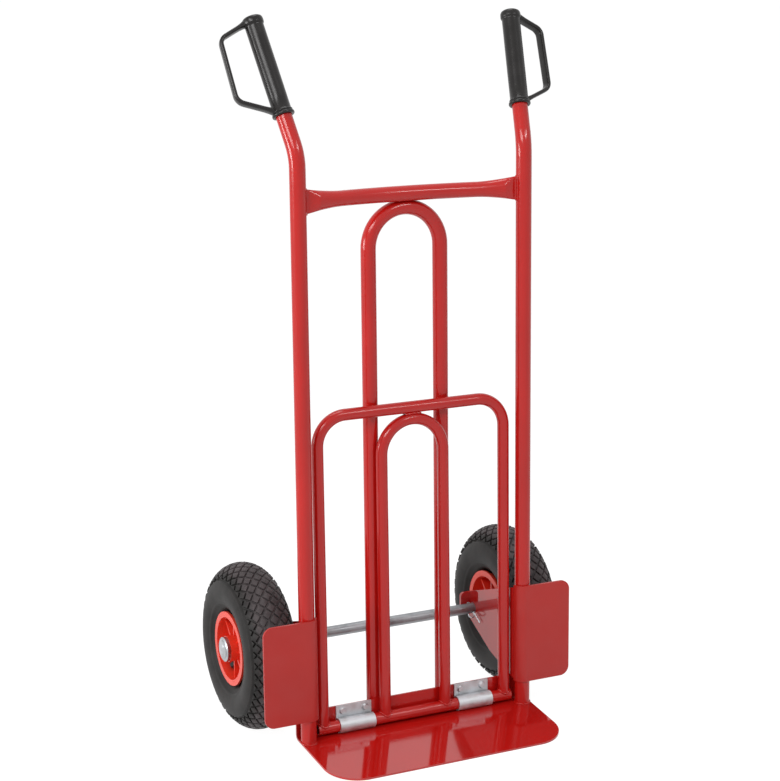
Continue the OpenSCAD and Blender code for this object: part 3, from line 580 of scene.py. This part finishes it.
def addStrap(bm):
    # the strap swells towards both its ends, where it runs into the sleeve
    line = strapLine()
    travelled = [0.0]
    for a, b in zip(line, line[1:]):
        travelled.append(travelled[-1] + (b - a).length)
    turned = Matrix.Rotation(math.radians(strap["turn"]), 3, "Z")
    rings = []
    for i, point in enumerate(line):
        before, after = line[max(i - 1, 0)], line[min(i + 1, len(line) - 1)]
        ahead = (after - before).normalized()
        across = Vector((ahead.z, 0, -ahead.x))
        nearRoot = max(0.0, 1 - travelled[i] / strap["swellLength"])
        nearFoot = max(0.0, 1 - (travelled[-1] - travelled[i]) / strap["swellLength"])
        thick = (strap["halfThick"] + nearRoot ** 2 * strap["rootSwell"]
                 + nearFoot ** 2 * strap["footSwell"])
        outline = superRound(thick, strap["halfWide"], strap["boxy"], strap["points"])
        rings.append([turned @ (point + across * t + Vector((0, w, 0))) for t, w in outline])
    growSkin(bm, rings)


def buildGrip(side):
    bm = bmesh.new()
    verts = [bm.verts.new((r * mm, 0, z * mm)) for r, z in sleeveProfile]
    edges = [bm.edges.new(pair) for pair in zip(verts, verts[1:])]
    bmesh.ops.spin(bm, geom=verts + edges, axis=(0, 0, 1), cent=(0, 0, 0),
                   steps=grip["steps"], angle=2 * math.pi, use_merge=True)
    bmesh.ops.remove_doubles(bm, verts=bm.verts[:], dist=mergeGap)
    addStrap(bm)
    bmesh.ops.transform(bm, matrix=handleMatrix(side), verts=bm.verts[:])
    bmesh.ops.recalc_face_normals(bm, faces=bm.faces[:])
    name = sideName(side)
    made = finishMesh(bm, name + "VinylGrip", gripVinyl, "frame", grip["sharp"])
    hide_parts(name + "_grip")


buildGrip(-1)
buildGrip(1)
print("grips built")


# The weld beads, where the tubes meet each other, the flange and the toe plate.

bead = {"radius": 1.5 * mm, "ripple": 0.14, "rippleTurn": 2.4, "roundness": 2,
        "loopPoints": 40, "offLeg": 0.1 * mm, "offUpright": 0.2 * mm, "seamStep": 2}
# the pieces that the beads lie on; legs, steps and the ends of straight seams are in mm
fold = {"hingeY": 9.4 * mm, "hingeZ": 26.902 * mm, "rest": 0.397, "tubeR": 9 * mm,
        "legs": (-156, -51.5, 51.5, 156), "topBar": 483.1 * mm, "seamHalf": 13,
        "seamOff": 4.6 * mm, "seamSag": 0.004 * mm, "seatRise": 1.2 * mm, "seatSink": 0.6 * mm}
plate = {"heightAtUpright": 14.21 * mm, "slope": 6.2, "rise": 0.6 * mm}
arch = {"halfSpacing": 59.25 * mm, "seamOff": 5 * mm, "seamBack": 23 * mm, "seamLow": 24,
        "seamHigh": 54}
tabSeam = {"halfWide": 2.6 * mm, "halfHigh": 18.4 * mm, "boxy": 5, "points": 56}
hinged = (leaned @ Matrix.Translation((0, fold["hingeY"], fold["hingeZ"]))
          @ Matrix.Rotation(math.radians(-fold["rest"]), 4, "X"))


def addBeads(name, body, place, loops, lines):
    # rippled beads of weld: closed loops and open lines of points, as (x, y, z) in metres
    data = bpy.data.curves.new(name, "CURVE")
    data.dimensions = "3D"
    data.bevel_depth = bead["radius"]
    data.bevel_resolution = bead["roundness"]
    data.use_fill_caps = True
    for points, closed in [(p, True) for p in loops] + [(p, False) for p in lines]:
        spline = data.splines.new("POLY")
        spline.points.add(len(points) - 1)
        for i, point in enumerate(points):
            spline.points[i].co = (*(place @ Vector(point)), 1)
            spline.points[i].radius = 1 + bead["ripple"] * math.sin(i * bead["rippleTurn"])
        spline.use_cyclic_u = closed
    made = bpy.data.objects.new(name, data)
    scene.collection.objects.link(made)
    data.materials.append(framePaint)
    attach(made, body)


def roundLoop(x, radius, height):
    # a loop round an upright tube at x, at the height that the given rule says
    loop = []
    for i in range(bead["loopPoints"]):
        turn = 2 * math.pi * i / bead["loopPoints"]
        y = radius * math.sin(turn)
        loop.append((x + radius * math.cos(turn), y, height(y)))
    return loop


def saddle(y):
    # where the foot of a leg lies on the hinge tube
    over = fold["tubeR"] + fold["seatRise"]
    return math.sqrt(over ** 2 - min(y ** 2, over ** 2)) - fold["seatSink"]


def plateTop(y):
    # where the foot of an upright lies on the sloping toe plate
    return plate["heightAtUpright"] + y * math.tan(math.radians(plate["slope"])) + plate["rise"]


def addWelds():
    legRadius = fold["tubeR"] + bead["offLeg"]
    feet = [roundLoop(leg * mm, legRadius, saddle) for leg in fold["legs"]]
    seamPlaces = range(-fold["seamHalf"], fold["seamHalf"] + 1, bead["seamStep"])
    topSeams = [[(x * mm, y, fold["topBar"] - fold["tubeR"] - x * x * fold["seamSag"])
                 for x in seamPlaces] for y in (-fold["seamOff"], fold["seamOff"])]
    addBeads("extensionWelds", "toe_extension", hinged, feet, topSeams)

    uprightRadius = frameSize["tubeR"] + bead["offUpright"]
    uprightFeet = [roundLoop(side * frameSize["tubeX"], uprightRadius, plateTop)
                   for side in (-1, 1)]
    tabOutline = superRound(tabSeam["halfWide"], tabSeam["halfHigh"], tabSeam["boxy"],
                            tabSeam["points"])
    tabLoops = [[(side * crossbar["half"], d, crossbar["height"] + h) for d, h in tabOutline]
                for side in (-1, 1)]
    seamHeights = range(arch["seamLow"], arch["seamHigh"] + 1, bead["seamStep"])
    archSeams = [[(side * arch["halfSpacing"] + off, arch["seamBack"], z * mm)
                  for z in seamHeights]
                 for side in (-1, 1) for off in (-arch["seamOff"], arch["seamOff"])]
    addBeads("frameWelds", "frame", leaned, uprightFeet + tabLoops, archSeams)


addWelds()
print("welds built")
